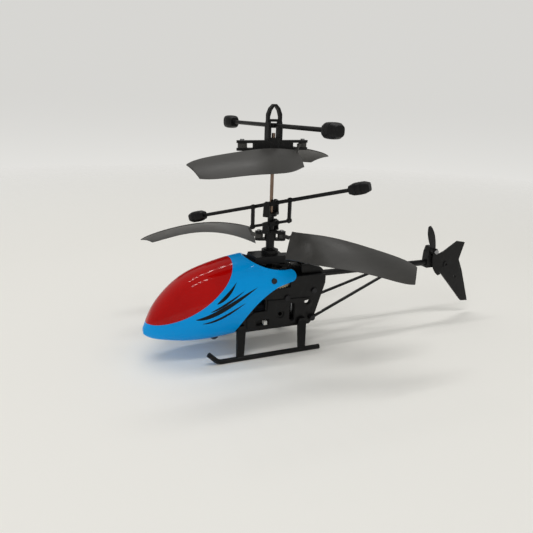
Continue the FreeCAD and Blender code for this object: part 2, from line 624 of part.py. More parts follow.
def make_tail_block():
    """Holds the boom's end, the fin's root and the tail rotor's axle."""
    body = new_body("tail_block")
    front = "tail_block_x + tail_block_long"
    slab(body, "Y", "-1 * tail_block_half", "tail_block_half", [
        ("tail_block_x", "boom_z - boom_dia / 2 - 0.9"), (front, "boom_z - boom_dia / 2 - 0.9"),
        (front, "boom_z + boom_dia / 2 + 0.8"), ("tail_rotor_x + 2.2", "tail_rotor_z - 1"),
        ("tail_rotor_x + 1.2", "tail_rotor_z + 2"), ("tail_rotor_x - 1.2", "tail_rotor_z + 2"),
        ("tail_rotor_x - 2.6", "tail_rotor_z - 1"), ("tail_block_x", "boom_z + boom_dia / 2 + 2"),
    ])
    bore(body, "X", "boom_tail", front + " + 1", ("0", "boom_z"), "boom_dia")
    window(body, "Y", "-1 * fin_thick / 2", "fin_thick / 2",
           box_outline("tail_block_x - 1", "tail_block_x + 3.4", "boom_z - 8", "boom_z + 12"))
    bore(body, "Y", "-1 * tail_block_half - 1", "tail_block_half + 1", ("tail_rotor_x", "tail_rotor_z"),
         "tail_axle_dia")


def make_tail_fin():
    """A swept arrow-shaped fin: short blade up, long blade down, a lightening hole in each."""
    body = new_body("tail_fin")
    slab(body, "Y", "-1 * fin_thick / 2", "fin_thick / 2", [
        ("tail_block_x + 3.4", "boom_z - boom_dia / 2 - 0.9"), ("fin_tip_x + 4.6", "fin_tip_z + 0.3"),
        ("fin_tip_x", "fin_tip_z"), ("fin_tip_x + 7.2", "boom_z - 6.9"), ("fin_tip_x + 10.6", "boom_z"),
        ("fin_top_x - 5", "fin_top_z - 0.9"), ("fin_top_x", "fin_top_z"),
        ("tail_block_x - 1.6", "boom_z + 5.4"), ("tail_block_x + 3.4", "boom_z + 3.4"),
    ])
    boss = ("tail_block_x - 3.4", "boom_z - 2.2")
    rod(body, "Y", "-1 * fin_thick / 2 - 0.5", "fin_thick / 2 + 0.5", boss, "3.6")
    bore(body, "Y", "-3", "3", boss, "1.5")
    bore(body, "Y", "-3", "3", ("fin_top_x - 1.3", "boom_z - 10.1"), "1.3")


def make_tail_rotor():
    """Two broad pitched blades on a small hub, and the axle that they turn on."""
    pin = V(number("tail_rotor_x"), number("tail_rotor_y"), number("tail_rotor_z"))
    hub = Part.makeCylinder(1.7, 2.4, V(0, -1.2, 0), V(0, 1, 0))
    blade_sections = ((1.0, 1.6, 1.1), (0.45 * number("tail_rotor_radius"), number("tail_blade_wide"), 0.8),
                      (0.8 * number("tail_rotor_radius"), number("tail_blade_wide") * 0.86, 0.7),
                      (number("tail_rotor_radius"), number("tail_blade_wide") * 0.3, 0.6))
    wires = []
    for reach, wide, thick in blade_sections:
        wire = Part.makePolygon([V(reach, -thick / 2, -wide / 2), V(reach, thick / 2, -wide / 2),
                                 V(reach, thick / 2, wide / 2), V(reach, -thick / 2, wide / 2),
                                 V(reach, -thick / 2, -wide / 2)])
        wire.rotate(V(0, 0, 0), V(1, 0, 0), 14)
        wires.append(wire)
    blade = Part.makeLoft(wires, True, False)
    twin = blade.copy()
    twin.rotate(V(0, 0, 0), V(0, 1, 0), 180)
    rotor = hub.fuse([blade, twin])
    bearing = number("tail_axle_dia / 2 + running_gap")
    rotor = rotor.cut(Part.makeCylinder(bearing, 6, V(0, -3, 0), V(0, 1, 0)))
    rotor.rotate(V(0, 0, 0), V(0, 1, 0), -number("tail_rotor_lean"))
    rotor.translate(pin + V(0, number("side_gap") * 2, 0))
    formed("tail_rotor", rotor.removeSplitter())
    start = V(pin.x, -number("tail_block_half"), pin.z)
    reach = number("tail_rotor_y + side_gap * 4 + 1.2 + tail_block_half")
    axle = Part.makeCylinder(number("tail_axle_dia / 2"), reach, start, V(0, 1, 0))
    cap = Part.makeCylinder(number("tail_axle_dia"), 0.6, start + V(0, reach, 0), V(0, 1, 0))
    formed("tail_rotor_axle", axle.fuse(cap).removeSplitter())


# ---------------------------------------------------------------- drive train
def make_gear(label, low, teeth, across_bore, where, turn):
    """A spur gear: a disc at the root circle, one tapered tooth, and its polar pattern."""
    body = new_body(label, at=where, yaw=turn)
    root = "gear_module * (%s) - 2.2 * gear_module" % teeth
    rod(body, "Z", low, low + " + gear_thick", ("0", "0"), root)
    foot = "(%s) / 2 - 0.2" % root
    crest = "gear_module * (%s) / 2 + 0.85 * gear_module" % teeth
    tooth = slab(body, "Z", low, low + " + gear_thick", [
        (foot, "-0.52 * gear_module"), (crest, "-0.22 * gear_module"),
        (crest, "0.22 * gear_module"), (foot, "0.52 * gear_module"),
    ])
    pattern = body.newObject("PartDesign::PolarPattern", label + "_teeth")
    pattern.Originals = [tooth]
    pattern.Axis = (next(f for f in body.Origin.OriginFeatures if f.Role == "Z_Axis"), [""])
    pattern.Angle = 360
    pattern.setExpression("Occurrences", bound(teeth))
    body.Tip = pattern
    doc.recompute()
    bore(body, "Z", low + " - 1", low + " + gear_thick + 1", ("0", "0"), across_bore)
    return body


def make_main_gear(label, low, shaft):
    body = make_gear(label, low, "gear_teeth", shaft, ("0", "0", "0"), "0")
    for i in range(5):
        spoke = math.radians(72 * i + 36)
        middle = ("gear_module * gear_teeth * %.4f" % (0.30 * math.cos(spoke)),
                  "gear_module * gear_teeth * %.4f" % (0.30 * math.sin(spoke)))
        bore(body, "Z", low + " - 1", low + " + gear_thick + 1", middle, "gear_module * 9")


def make_drive(name, side, gear_low, motor_top):
    """A motor under a deck, its shaft, and the pinion that meets one main gear."""
    where = ("%d * gear_distance" % side, "0", "0")
    motor = new_body(name + "_motor", at=where)
    turned(motor, [("0", motor_top + " - motor_long"), ("motor_dia / 2 - 0.6", motor_top + " - motor_long"),
                   ("motor_dia / 2", motor_top + " - motor_long + 0.6"), ("motor_dia / 2", motor_top),
                   ("0", motor_top)])
    bore(motor, "Z", motor_top + " - 2.5", motor_top + " + 1", ("0", "0"),
         "motor_shaft_dia + 2 * running_gap")
    shaft = new_body(name + "_motor_shaft", at=where)
    rod(shaft, "Z", motor_top + " - 2", gear_low + " + gear_thick + 0.8", ("0", "0"), "motor_shaft_dia")
    make_gear(name + "_pinion", gear_low, "pinion_teeth", "motor_shaft_dia", where, "180 / pinion_teeth")


def make_shafts():
    inner = new_body("inner_shaft")
    rod(inner, "Z", "lower_deck - 1.6", "upper_flybar_z - 3.2", ("0", "0"), "shaft_dia")
    tube = new_body("outer_shaft")
    rod(tube, "Z", "deck_top + 0.9", "lower_flybar_z - 4.6", ("0", "0"), "tube_dia")
    bore(tube, "Z", "deck_top", "lower_flybar_z - 4", ("0", "0"), "shaft_dia + 2 * running_gap")


def make_bush(label, low, high, inside, outside):
    """A flanged bush; its flange stands on the deck that holds it."""
    body = new_body(label)
    near = "(%s) / 2 + running_gap" % inside
    far = "(%s) / 2" % outside
    turned(body, [
        (near, low), (far, low), (far, high), (far + " + flange", high),
        (far + " + flange", high + " + flange_thick"), (near, high + " + flange_thick"),
    ])


def make_stop_ring():
    body = new_body("shaft_stop_ring")
    turned(body, [("shaft_dia / 2", "lower_deck - 1.2"), ("shaft_dia", "lower_deck - 1.2"),
                  ("shaft_dia", "lower_deck - side_gap"), ("shaft_dia / 2", "lower_deck - side_gap")])


# ---------------------------------------------------------------- rotor blades
def along_span(root, mid, tip, part):
    """The value on the parabola through a root, middle and tip value."""
    bow = 2 * (root + tip - 2 * mid)
    return root + (tip - root - bow) * part + bow * part * part


BLADE_PARTS = (0, 0.25, 0.5, 0.75, 0.93, 1.0)
TIP_STARTS = 0.9


def blade_section(rotor, part, hand):
    """A thin cambered section: two arcs and two short ends, at a place along the span."""
    pitch = math.radians(along_span(*[number("pitch_" + w) for w in ("root", "mid", "tip")], part))
    chord = along_span(number(rotor + "_chord_root"), number("chord_mid"), number("chord_tip"), part)
    rise = number(rotor + "_lead_rise") + along_span(
        0.0, number(rotor + "_rise_mid"), number(rotor + "_rise_tip"), part)
    sweep = number("blade_offset") + along_span(0.0, number("sweep_mid"), number("sweep_tip"), part)
    reach = number("blade_root") + part * number(rotor + "_reach - blade_root")
    back = V(0, hand * math.cos(pitch), -math.sin(pitch))
    up = V(0, hand * math.sin(pitch), math.cos(pitch))
    trim = number("tip_round") * max(0.0, (part - TIP_STARTS) / (1 - TIP_STARTS)) ** 2
    lead = V(reach, hand * sweep, rise) + back * trim
    chord -= 2 * trim
    half = up * (number("blade_thick") / 2)
    bulge = up * (number("blade_camber") * chord)
    trail = lead + back * chord
    middle = lead + back * (chord * 0.42) + bulge
    nose = half * 0.7
    rear = half * 0.4
    return Part.Wire([
        arc(lead + nose, middle + half, trail + rear), Part.makeLine(trail + rear, trail - rear),
        arc(trail - rear, middle - half, lead - nose), Part.makeLine(lead - nose, lead + nose),
    ])


def blade_shape(rotor, hand):
    """A twisted, drooping blade with the knuckle and arm that carry it from its hinge pin."""
    skin = Part.makeLoft([blade_section(rotor, part, hand) for part in BLADE_PARTS], True, False)
    high = number("knuckle_high")
    knuckle = Part.makeCylinder(number("knuckle_dia / 2"), high, V(0, 0, -high / 2))
    rise = number(rotor + "_lead_rise")
    elbow = V(4.6, hand * 2.6, 0)
    arm = Part.makeLoft([bar_section(V(0.6, 0, 0), 1.9, 1.5), bar_section(elbow, 1.6, 1.4)], True, True)
    riser = Part.makeLoft([bar_section(elbow - V(0.3, 0, 0), 1.5, 1.4),
                           bar_section(V(6.4, hand * 4.0, rise - 0.9), 1.5, 1.0)], True, True)
    pin_hole = Part.makeCylinder(number("blade_pin_dia / 2 + running_gap"), 8, V(0, 0, -4))
    return skin.fuse([arm, riser, knuckle]).cut(pin_hole).removeSplitter()


def bar_section(centre, wide, high):
    corners = [(-1, -1), (1, -1), (1, 1), (-1, 1), (-1, -1)]
    return Part.makePolygon([centre + V(0, y * wide / 2, z * high / 2) for y, z in corners])


def make_blades(rotor, hand, carrier_azimuth, pin_radius, pin_z, folds):
    """Two blades, each turned on its own pin at one end of the carrier."""
    for i, fold in enumerate(folds):
        azimuth = "%s + %d" % (carrier_azimuth, 180 * i)
        at = ("(%s) * cos(%s)" % (pin_radius, azimuth), "(%s) * sin(%s)" % (pin_radius, azimuth), pin_z)
        formed("%s_blade_%d" % (rotor, i + 1), blade_shape(rotor, hand), at=at,
               yaw="%s + %s" % (azimuth, fold))


def make_blade_pins(rotor, azimuth, pin_radius, low, high):
    pins = []
    for side in (1, -1):
        at = V(side * number(pin_radius), 0, number(low))
        pin = Part.makeCylinder(number("blade_pin_dia / 2"), number(high) - number(low), at)
        head = Part.makeCylinder(number("blade_pin_dia * 0.95"), 0.6, V(at.x, 0, number(high)))
        pins.append(pin.fuse(head).removeSplitter())
    formed(rotor + "_blade_pins", Part.makeCompound(pins), yaw=azimuth)


# ---------------------------------------------------------------- lower rotor head
def make_lower_hub():
    """The hub on the outer shaft: two blade forks below, cheeks for the yoke above."""
    body = new_body("lower_rotor_hub", yaw="lower_fork_azimuth")
    ear = "(lower_hub_high - knuckle_high) / 2 - side_gap"
    top = "lower_hub_z + lower_hub_high"
    rod(body, "Z", "lower_hub_z", top, ("0", "0"), "tube_dia + 2.4")
    for low, high in (("lower_hub_z", "lower_hub_z + " + ear), (top + " - (%s)" % ear, top)):
        lozenge(body, "Z", low, high, ("-1 * lower_pin_radius", "0"), ("lower_pin_radius", "0"),
                "knuckle_dia")
    for x in ("lower_pin_radius", "-1 * lower_pin_radius"):
        bore(body, "Z", "lower_hub_z - 1", top + " + 1", (x, "0"), "blade_pin_dia")
    rod(body, "Z", "collar_boss_top + 0.9", "lower_hub_z", ("0", "0"), "sleeve_dia")
    bore(body, "Z", "collar_boss_top", top + " + 1", ("0", "0"), "tube_dia")


def ring_carrier(label, low, pivot_z, cheek, inner_bore, collar_high):
    """A collar on the outer shaft with two cheeks that hold a tilting ring's trunnions."""
    body = new_body(label, yaw="flybar_azimuth - 90")
    rod(body, "Z", low, low + " + (%s)" % collar_high, ("0", "0"), "tube_dia + 2.4")
    slab(body, "Z", low, low + " + (%s)" % collar_high,
         box_outline("-1 * (%s)" % cheek, cheek, "-1.7", "1.7"))
    for side in (1, -1):
        near, far = across(side, cheek + " - 1", cheek)
        slab(body, "X", near, far, [
            ("-1.7", low), ("1.7", low), ("1.4", pivot_z + " + 0.6"), ("0.6", pivot_z + " + 1.5"),
            ("-0.6", pivot_z + " + 1.5"), ("-1.4", pivot_z + " + 0.6")])
    bore(body, "X", "-1 * (%s) - 1" % cheek, cheek + " + 1", ("0", pivot_z), "trunnion_dia + 2 * running_gap")
    bore(body, "Z", low + " - 1", low + " + (%s) + 1" % collar_high, ("0", "0"), inner_bore)
    return body


def tilting_ring(body, outer, high, cheek):
    """The disc about the shaft with a trunnion each side; drawn level, its pivot at the origin."""
    rod(body, "Z", "-1 * (%s) / 2" % high, "(%s) / 2" % high, ("0", "0"), "2 * (%s)" % outer)
    rod(body, "Y", "-1 * (%s)" % cheek, cheek, ("0", "0"), "trunnion_dia")


def link_studs(body, thick):
    """The studs that the links hang on, one each side, offset along the pivot's direction."""
    for side in (1, -1):
        low, high = across(side, "0", "(%s) / 2 + link_gap + 1.4" % thick)
        rod(body, "Y", low, high, ("%d * link_radius" % side, "0"), "trunnion_dia")


def chamfered_outline(half_wide, half_high, edge):
    """A rectangle about the origin with its corners cut off."""
    corners = []
    for a, b in ((1, 1), (-1, 1), (-1, -1), (1, -1)):
        tall = ("%d * (%s)" % (a, half_wide), "%d * (%s - %s)" % (b, half_high, edge))
        flat = ("%d * (%s - %s)" % (a, half_wide, edge), "%d * (%s)" % (b, half_high))
        corners += [tall, flat] if a == b else [flat, tall]
    return corners


def make_flybar(label, pivot, reach, azimuth, tilt, ring, hole, cheek, high, weight):
    """A weighted bar on trunnions: a centre ring, a thin rod each way, a block near each end."""
    body = new_body(label, at=("0", "0", pivot), yaw=azimuth, pitch=tilt)
    end = "(%s) + weight_long / 2" % reach
    rod(body, "X", "-1 * (%s)" % end, end, ("0", "0"), "flybar_dia")
    for side in (1, -1):
        near, far = across(side, "(%s) - weight_long / 2" % reach, end)
        slab(body, "X", near, far, chamfered_outline("weight_wide / 2", weight + " / 2", "weight_edge"))
    tilting_ring(body, ring, high, cheek)
    if hole:
        bore(body, "Z", "-1 * (%s)" % high, high, ("0", "0"), "2 * (%s)" % hole)
    return body


def make_lower_yoke():
    """The small rocker under the flybar that the two links tilt with it."""
    body = new_body("lower_yoke", at=("0", "0", "lower_yoke_z"), yaw="flybar_azimuth",
                    pitch="-1 * flybar_tilt")
    slab(body, "Z", "-0.6", "0.6", box_outline("-1 * link_radius - 1", "link_radius + 1",
                                               "-1 * flybar_dia / 2", "flybar_dia / 2"))
    tilting_ring(body, "yoke_ring", "ring_high", "yoke_cheek")
    bore(body, "Z", "-1 * ring_high", "ring_high", ("0", "0"), "2 * yoke_bore")
    link_studs(body, "flybar_dia")


def make_links():
    """Two upright links that keep the yoke parallel to the flybar."""
    for i, side in enumerate((1, -1)):
        body = new_body("lower_link_%d" % (i + 1), yaw="flybar_azimuth")
        low, high = across(side, "flybar_dia / 2 + link_gap", "flybar_dia / 2 + link_gap + link_thick")
        x = "%d * link_radius * cos(flybar_tilt)" % side
        foot = "lower_yoke_z + %d * link_radius * sin(flybar_tilt)" % side
        head = "lower_flybar_z + %d * link_radius * sin(flybar_tilt)" % side
        slab(body, "Y", low, high, box_outline(x + " - 0.7", x + " + 0.7", foot, head))
        for z in (foot, head):
            rod(body, "Y", low, high, (x, z), "link_dia")
        for z in (foot, head):
            bore(body, "Y", low + " - 1", high + " + 1", (x, z), "trunnion_dia + 2 * running_gap")


def make_lower_head():
    make_lower_hub()
    top = "lower_hub_z + lower_hub_high"
    ring_carrier("lower_yoke_cheeks", top, "lower_yoke_z", "yoke_cheek", "tube_dia", "0.6")
    make_lower_yoke()
    ring_carrier("lower_flybar_cheeks", "lower_flybar_z - 5.6", "lower_flybar_z", "post_cheek", "tube_dia",
                 "1.4")
    flybar = make_flybar("lower_flybar", "lower_flybar_z", "lower_flybar_reach", "flybar_azimuth",
                         "-1 * flybar_tilt", "post_ring", "post_bore", "post_cheek", "ring_high",
                         "lower_weight_high")
    link_studs(flybar, "flybar_dia")
    make_links()
    make_blade_pins("lower", "lower_fork_azimuth", "lower_pin_radius", "lower_hub_z", top)
    make_blades("lower", -1, "lower_fork_azimuth", "lower_pin_radius", "lower_hub_z + lower_hub_high / 2",
                ("lower_fold", "lower_fold"))


# ---------------------------------------------------------------- upper rotor head
def make_upper_hub():
    """The head on the inner shaft: a forked bar for the blades and two cheeks for the flybar."""
    body = new_body("upper_rotor_hub", yaw="bar_azimuth")
    top = "bar_z + bar_high"
    rod(body, "Z", "bar_z - 2.7", top + " + 1", ("0", "0"), "upper_hub_dia")
    lozenge(body, "Z", "bar_z", top, ("bar_half - bar_reach", "0"), ("bar_reach - bar_half", "0"),
            "2 * bar_half")
    for side in (1, -1):
        near, far = across(side, "2.2", "3.6")
        slab(body, "X", near, far, [("-1.8", top), ("1.8", top), ("1.8", "upper_flybar_z"),
                                    ("1.2", "loop_base"), ("-1.2", "loop_base"), ("-1.8", "upper_flybar_z")])
        inner, outer = across(side, "fork_root", "bar_reach + 1")
        window(body, "X", inner, outer, box_outline("-1 * bar_half - 1", "bar_half + 1",
                                                    "bar_z + ear_thick", top + " - ear_thick"))
    for x in ("upper_pin_radius", "-1 * upper_pin_radius"):
        bore(body, "Z", "bar_z - 1", top + " + 1", (x, "0"), "blade_pin_dia")
    bore(body, "Z", "bar_z - 3", "upper_flybar_z - 3.2", ("0", "0"), "shaft_dia")
    bore(body, "X", "-4", "4", ("0", "upper_flybar_z"), "trunnion_dia + 2 * running_gap")


def arch_outline(half, base, top):
    """Half of a pointed arch's corners on the right, then the same on the left."""
    right = [(1.0, base), (1.0, "(%s) - 4.2" % top), (0.68, "(%s) - 1.6" % top), (0.2, top)]
    corners = [("%s * (%s)" % (part, half), z) for part, z in right]
    return corners + [("-%s * (%s)" % (part, half), z) for part, z in reversed(right)]


def make_mast_loop():
    """The pointed lifting loop on top of the head: an arch with a smaller arch cut through it."""
    body = new_body("mast_loop", yaw="bar_azimuth")
    slab(body, "Y", "-1", "1", arch_outline("loop_half", "loop_base", "loop_top"))
    window(body, "Y", "-1", "1", arch_outline("loop_half - loop_wall", "loop_base + loop_wall",
                                              "loop_top - loop_wall"))


def make_upper_head():
    make_upper_hub()
    make_flybar("upper_flybar", "upper_flybar_z", "upper_flybar_reach", "bar_azimuth + 90", "0",
                "1.9", None, "3.6", "ring_high", "upper_weight_high")
    make_mast_loop()
    top = "bar_z + bar_high"
    make_blade_pins("upper", "bar_azimuth", "upper_pin_radius", "bar_z", top)
    make_blades("upper", 1, "bar_azimuth", "upper_pin_radius", "bar_z + bar_high / 2",
                ("far_blade_fold", "near_blade_fold"))


# ---------------------------------------------------------------- inside and small pieces
def make_battery():
    body = new_body("battery")
    slab(body, "Z", "floor_top", "floor_top + battery_high",
         box_outline("-1 * battery_half_long", "battery_half_long", "battery_right", "battery_left"))
    round_edges(body, "1.2", lambda e: along(e, V(1, 0, 0)))


def make_electronics():
    board = new_body("circuit_board")
    low = "nose_floor + chassis_wall"
    slab(board, "Z", low, low + " + board_thick",
         box_outline("deck_front - 1", "chassis_front - 4.2", "board_room - chassis_inner",
                     "chassis_inner - board_room"))
    slab(board, "Z", low + " + board_thick", low + " + board_thick + 1.2",
         box_outline("sensor_x - 1.4", "sensor_x + 2", "-2", "2"))
    sensor = new_body("ir_sensor", at=("sensor_x", "0", "0"))
    half = "sensor_dia / 2"
    turned(sensor, [("0", "sensor_low"), (half + " - 1.1", "sensor_low"),
                    (half + " - 0.3", "sensor_low + 0.8"), (half, "sensor_low + 2"),
                    (half, "nose_floor"), ("0", "nose_floor")])


def make_switch():
    body = new_body("power_switch")
    slab(body, "Y", "motor_dia / 2 + switch_room", "chassis_inner",
         box_outline("switch_x - 3.6", "switch_x + 3.6", "switch_z - 2", "switch_z + 2"))
    knob = new_body("switch_knob", at=("switch_x - switch_travel / 2", "0", "switch_z"))
    slab(knob, "Y", "chassis_inner + running_gap", "chassis_half + 1.3",
         box_outline("-0.8", "0.8", "-0.9", "0.9"))


def make_socket():
    body = new_body("charge_socket")
    rod(body, "Y", "chassis_half - socket_deep - 0.8", "chassis_half", ("socket_x", "socket_z"),
        "socket_bore + 1.6")
    bore(body, "Y", "chassis_half - socket_deep", "chassis_half + 1", ("socket_x", "socket_z"), "socket_bore")


# ---------------------------------------------------------------- assembly
def make_everything():
    make_canopy()
    make_canopy_screws()
    make_chassis_half("chassis_left", 1)
    make_chassis_half("chassis_right", -1)
    make_chassis_screws()
    make_mast_collar()
    make_skid("skid_left", 1)
    make_skid("skid_right", -1)
    make_tail_boom()
    make_boom_clamp()
    make_strut("strut_left", 1)
    make_strut("strut_right", -1)
    make_strut_screws()
    make_tail_block()
    make_tail_fin()
    make_tail_rotor()
    make_main_gear("main_gear_lower", "lower_gear_z", "shaft_dia")
    make_main_gear("main_gear_upper", "upper_gear_z", "tube_dia")
    make_drive("rear", -1, "lower_gear_z", "lower_deck")
    make_drive("front", 1, "upper_gear_z", "lower_deck")
    make_shafts()
    make_bush("lower_bush", "lower_deck", "lower_deck + deck_thick", "shaft_dia", "bush_dia")
    make_bush("upper_bush", "upper_deck", "upper_deck + deck_thick", "shaft_dia", "bush_dia")
    make_bush("collar_bush", "collar_floor", "collar_boss_top", "tube_dia", "tube_dia + 1.4")
    make_stop_ring()
    make_lower_head()
    make_upper_head()
    make_battery()
    make_electronics()
    make_switch()
    make_socket()


make_everything()
doc.recompute()
for item in doc.Objects:
    if "Invalid" in item.State or "Error" in item.State:
        raise RuntimeError("%s did not recompute: %s" % (item.Label, item.State))
os.makedirs("parts", exist_ok=True)
for piece in subparts:
    if piece.Shape.isNull() or not piece.Shape.isValid():
        raise RuntimeError("%s has no valid shape" % piece.Label)
    piece.Shape.exportStep("parts/%s.step" % piece.Label)
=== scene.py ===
"""Looks of a small coaxial toy helicopter: materials, canopy, decals, trims, flybars, light and camera."""
import bpy
import bmesh
import json
import math
from mathutils import Matrix, Vector
from mathutils.bvhtree import BVHTree


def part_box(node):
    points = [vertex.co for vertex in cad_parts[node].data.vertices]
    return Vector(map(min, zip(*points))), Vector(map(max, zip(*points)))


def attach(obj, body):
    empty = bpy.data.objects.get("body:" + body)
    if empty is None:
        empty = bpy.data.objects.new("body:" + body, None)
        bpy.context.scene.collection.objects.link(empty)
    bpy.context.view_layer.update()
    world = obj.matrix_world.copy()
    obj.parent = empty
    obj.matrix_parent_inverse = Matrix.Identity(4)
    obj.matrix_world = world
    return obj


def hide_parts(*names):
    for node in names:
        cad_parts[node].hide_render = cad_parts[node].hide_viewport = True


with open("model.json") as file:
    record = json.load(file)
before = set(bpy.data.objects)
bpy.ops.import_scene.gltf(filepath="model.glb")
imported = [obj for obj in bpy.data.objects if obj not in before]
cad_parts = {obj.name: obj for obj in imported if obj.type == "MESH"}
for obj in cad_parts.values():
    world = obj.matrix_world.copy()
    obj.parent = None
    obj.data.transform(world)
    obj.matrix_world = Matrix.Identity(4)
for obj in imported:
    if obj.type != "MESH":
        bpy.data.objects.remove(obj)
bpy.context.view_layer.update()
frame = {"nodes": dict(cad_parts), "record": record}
MM = 0.001
shaft_low, shaft_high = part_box("inner_shaft")
MAST = (shaft_low[0] + shaft_high[0]) / 2
scene = bpy.context.scene


def at(x, y, z):
    """A point in millimetres from the rotor mast, as metres in the frame."""
    return Vector((MAST + x * MM, y * MM, z * MM))


# ---------------------------------------------------------------- materials
def srgb(r, g, b):
    """An 8-bit colour as linear values."""
    linear = (((c / 255 + 0.055) / 1.055) ** 2.4 if c > 10 else c / 255 / 12.92 for c in (r, g, b))
    return tuple(linear) + (1.0,)


class Nodes:
    """A material's node tree with short calls for the nodes used here."""

    def __init__(self, name):
        self.material = bpy.data.materials.new(name)
        self.material.use_nodes = True
        self.tree = self.material.node_tree
        self.shader = self.tree.nodes["Principled BSDF"]
        self.coordinates = self.tree.nodes.new("ShaderNodeTexCoord").outputs["Object"]

    def node(self, kind, **values):
        node = self.tree.nodes.new(kind)
        for name, value in values.items():
            setattr(node, name, value)
        return node

    def link(self, start, end):
        self.tree.links.new(start, end)

    def noise(self, scale, detail=3.0, roughness=0.55, stretch=(1, 1, 1)):
        mapping = self.node("ShaderNodeMapping")
        mapping.inputs["Scale"].default_value = stretch
        self.link(self.coordinates, mapping.inputs["Vector"])
        noise = self.node("ShaderNodeTexNoise")
        noise.inputs["Scale"].default_value = scale
        noise.inputs["Detail"].default_value = detail
        noise.inputs["Roughness"].default_value = roughness
        self.link(mapping.outputs["Vector"], noise.inputs["Vector"])
        return noise.outputs["Fac"]

    def spread(self, value, low, high, start=0.3, end=0.7):
        """Remap a 0..1 field onto a range of numbers."""
        node = self.node("ShaderNodeMapRange")
        node.inputs["From Min"].default_value = start
        node.inputs["From Max"].default_value = end
        node.inputs["To Min"].default_value = low
        node.inputs["To Max"].default_value = high
        self.link(value, node.inputs["Value"])
        return node.outputs["Result"]

    def mix(self, factor, first, second):
        node = self.node("ShaderNodeMix", data_type="RGBA")
        self.link(factor, node.inputs["Factor"])
        for socket, colour in zip((node.inputs[6], node.inputs[7]), (first, second)):
            if isinstance(colour, tuple):
                socket.default_value = colour
            else:
                self.link(colour, socket)
        return node.outputs[2]

    def edges(self, radius):
        """About 1 on worn convex edges and 0 elsewhere."""
        geometry = self.node("ShaderNodeNewGeometry")
        bevel = self.node("ShaderNodeBevel", samples=4)
        bevel.inputs["Radius"].default_value = radius
        dot = self.node("ShaderNodeVectorMath", operation="DOT_PRODUCT")
        self.link(geometry.outputs["Normal"], dot.inputs[0])
        self.link(bevel.outputs["Normal"], dot.inputs[1])
        return self.spread(dot.outputs["Value"], 1.0, 0.0, 0.80, 0.99)

    def bump(self, height, strength, distance, edge=0.0):
        node = self.node("ShaderNodeBump")
        if edge:
            soft = self.node("ShaderNodeBevel", samples=4)
            soft.inputs["Radius"].default_value = edge
            self.link(soft.outputs["Normal"], node.inputs["Normal"])
        node.inputs["Strength"].default_value = strength
        node.inputs["Distance"].default_value = distance
        self.link(height, node.inputs["Height"])
        self.link(node.outputs["Normal"], self.shader.inputs["Normal"])

    def set(self, **values):
        for name, value in values.items():
            self.shader.inputs[name.replace("_", " ")].default_value = value


def moulded(name, colour, light, rough=(0.38, 0.55), grain=2600, strength=0.18, worn=0.5, specular=0.28):
    """Injection-moulded plastic: fine grain, uneven gloss, a little dust and paler edges."""
    n = Nodes(name)
    fine = n.noise(grain, 4)
    broad = n.noise(90, 4)
    dust = n.noise(420, 6, 0.7)
    tone = n.mix(n.spread(broad, 0.0, 0.7), colour, light)
    dusty = n.mix(n.spread(dust, 0.0, 0.04, 0.55, 0.75), tone, srgb(150, 148, 145))
    pale = tuple(min(1.0, 2.4 * c + 0.008) for c in light[:3]) + (1.0,)
    edge = n.mix(n.spread(n.edges(0.00018), 0.0, worn, 0.0, 1.0), dusty, pale)
    n.link(edge, n.shader.inputs["Base Color"])
    n.link(n.spread(broad, *rough), n.shader.inputs["Roughness"])
    n.bump(fine, strength, 0.00006, 0.00022)
    n.set(Specular_IOR_Level=specular)
    return n.material


def painted(name, colour, deep, rough=0.12, coat=0.3, specular=0.12):
    """Glossy sprayed plastic: clear coat with a faint orange-peel ripple and fine swirl marks."""
    n = Nodes(name)
    ripple = n.noise(520, 2)
    cloud = n.noise(40, 3)
    marks = n.noise(1500, 5, 0.6, (1, 1, 6))
    n.link(n.mix(n.spread(cloud, 0.0, 0.5), colour, deep), n.shader.inputs["Base Color"])
    n.link(n.spread(marks, rough, rough + 0.09), n.shader.inputs["Roughness"])
    n.bump(ripple, 0.05, 0.00008)
    n.set(Coat_Weight=coat, Coat_Roughness=0.05, Coat_IOR=1.5, Specular_IOR_Level=specular)
    return n.material


def metal(name, colour, dark, rough=(0.18, 0.34), lathe=(1, 1, 30)):
    """Turned or drawn metal: fine lines round the piece and a few darker patches."""
    n = Nodes(name)
    lines = n.noise(900, 3, 0.6, lathe)
    stain = n.noise(160, 5, 0.6)
    n.link(n.mix(n.spread(stain, 0.0, 0.8), colour, dark), n.shader.inputs["Base Color"])
    n.link(n.spread(lines, *rough), n.shader.inputs["Roughness"])
    n.bump(lines, 0.12, 0.00003)
    n.set(Metallic=1.0)
    return n.material


def blade_plastic():
    """Flexible smoke-grey blade with flow lines along the span."""
    n = Nodes("blade_plastic")
    flow = n.noise(260, 4, 0.6, (0.25, 1, 1))
    broad = n.noise(45, 3)
    fine = n.noise(3000, 3)
    tone = n.mix(n.spread(flow, 0.0, 0.6), srgb(56, 55, 53), srgb(45, 44, 43))
    n.link(n.mix(n.spread(broad, 0.0, 0.35), tone, srgb(68, 67, 64)), n.shader.inputs["Base Color"])
    n.link(n.spread(broad, 0.34, 0.5), n.shader.inputs["Roughness"])
    n.bump(fine, 0.10, 0.00004)
    n.set(Specular_IOR_Level=0.4)
    return n.material


